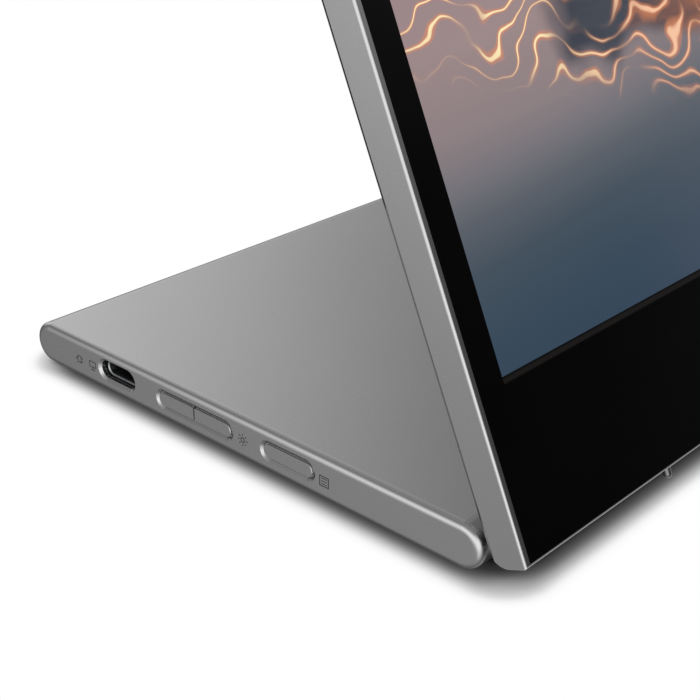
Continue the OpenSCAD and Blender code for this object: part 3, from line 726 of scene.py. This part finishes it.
# Softboxes painted on the sky, in degrees: azimuth from +Y towards +X, and height above the horizon. An edge
# is dark at its first angle and full at its second. A round light has its direction, the angles from it where
# it starts and is full, and its strength
studio = {
    "above": 0.30, "below": 0.12, "horizon": (-14, 0),
    "backPanel": {"strength": 1.08, "azimuth": ((-18, -2), (61, 25)), "height": ((56, 30), (2, 13))},
    "leftPanel": {"strength": 1.8, "azimuth": ((-32, -64), (-178, -150)), "height": ((-30, 8), (48, 15))},
    "lowLight": ((-100, 0), (98.6, 49.5), 0.40),
    "roundLights": [
        ((-128, -24), (30, 12), 0.8),
        ((110, -42), (45, 20), 0.1),
        ((100, 52), (32, 12), 0.6),
        ((0, 90), (60, 25), 0.18),
        ((95, -45), (50, 20), 0.55),
        ((126, 44), (36, 10), 0.6),
    ],
    "frontShade": ((148, -5), (48, 15), 0.7),     # takes light away in front of the screen
    "mapSize": 1024,
}


def buildWorld():
    world = bpy.data.worlds.new("studio")
    bpy.context.scene.world = world
    world.use_nodes = True
    tree = world.node_tree
    tree.nodes.clear()
    direction = addNode(tree, "TexCoord", out="Generated")
    axes = addNode(tree, "SeparateXYZ", [direction]).node.outputs
    azimuth = addNode(tree, "Math", (axes["X"], axes["Y"]), operation="ARCTAN2")
    azimuth = addNode(tree, "Math", [azimuth], operation="DEGREES")
    height = addNode(tree, "Math", [axes["Z"]], operation="ARCSINE")
    height = addNode(tree, "Math", [height], operation="DEGREES")

    def panel(look):
        edges = [(azimuth, *edge) for edge in look["azimuth"]] + [(height, *edge) for edge in look["height"]]
        return softMask(tree, look["strength"], *edges)

    def roundLight(place, spread, strength):
        turn, rise = radians(place[0]), radians(place[1])
        middle = (sin(turn) * cos(rise), cos(turn) * cos(rise), sin(rise))
        near = addNode(tree, "VectorMath", (direction, middle), out="Value", operation="DOT_PRODUCT")
        return softMask(tree, strength, (near, cos(radians(spread[0])), cos(radians(spread[1]))))

    above = addNode(tree, "Math", (panel(studio["backPanel"]), studio["above"]), operation="ADD")
    below = addNode(tree, "Math", (roundLight(*studio["lowLight"]), studio["below"]), operation="ADD")
    risen = softMask(tree, 1.0, (height, *studio["horizon"]))
    total = addNode(tree, "MapRange", {"Value": risen, "To Min": below, "To Max": above})
    total = addNode(tree, "Math", (total, panel(studio["leftPanel"])), operation="ADD")
    for light in studio["roundLights"]:
        total = addNode(tree, "Math", (total, roundLight(*light)), operation="ADD")
    kept = addNode(tree, "Math", (1.0, roundLight(*studio["frontShade"])), operation="SUBTRACT")
    total = addNode(tree, "Math", (total, kept), operation="MULTIPLY")
    light = addNode(tree, "Background", {"Color": (1, 1, 1, 1), "Strength": total})
    white = addNode(tree, "Background", {"Color": (1, 1, 1, 1), "Strength": 1.0})
    seen = addNode(tree, "LightPath", out="Is Camera Ray")
    addNode(tree, "OutputWorld", {"Surface": addNode(tree, "MixShader", (seen, light, white))})
    world.cycles.sampling_method = "MANUAL"
    world.cycles.sample_map_resolution = studio["mapSize"]


camera = {
    "place": (-297.1 * mm, -150.4 * mm, 119.9 * mm), "turn": (64.02, -0.09, -47.11),   # degrees
    "lens": 70.29, "sensor": 36, "nearest": 10 * mm,
}


def buildCamera():
    data = bpy.data.cameras.new("camera")
    data.lens = camera["lens"]
    data.sensor_width = camera["sensor"]
    data.clip_start = camera["nearest"]
    eye = bpy.data.objects.new("camera", data)
    bpy.context.scene.collection.objects.link(eye)
    eye.location = camera["place"]
    eye.rotation_euler = [radians(v) for v in camera["turn"]]
    bpy.context.scene.camera = eye


buildFloor()
buildWorld()
buildCamera()
bpy.context.scene.view_settings.view_transform = "Standard"
print("floor, light and camera")
